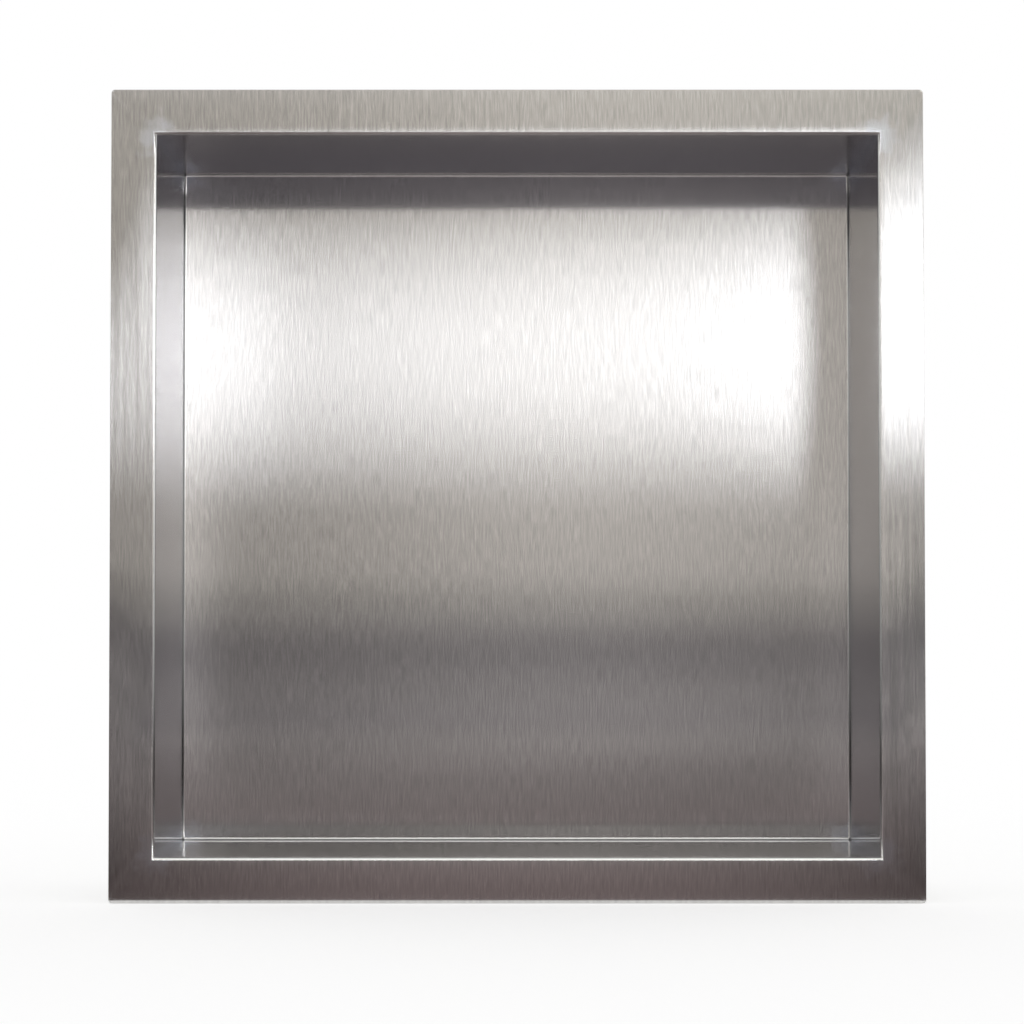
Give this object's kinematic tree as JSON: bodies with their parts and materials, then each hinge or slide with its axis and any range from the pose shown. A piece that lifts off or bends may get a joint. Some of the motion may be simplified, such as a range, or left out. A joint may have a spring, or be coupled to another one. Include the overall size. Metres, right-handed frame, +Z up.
{
  "type": "shower niche insert",
  "caption": "Square recessed wall niche folded from brushed stainless sheet, with welded corners and a flat face flange that covers the edge of the wall cut-out; holds bottles and soap.",
  "frame": {"origin": "centre of the opening, in the plane of the flange's back, which bears on the wall", "axes": "+X to the viewer's right, +Y into the wall, +Z up"},
  "size_m": [0.338, 0.1012, 0.338],
  "materials": {
    "brushed_stainless": "vertically brushed stainless steel on the seen side, plain mill finish on the hidden side"
  },
  "bodies": {
    "root": {"niche_shell": "brushed_stainless"}
  },
  "joints": []
}
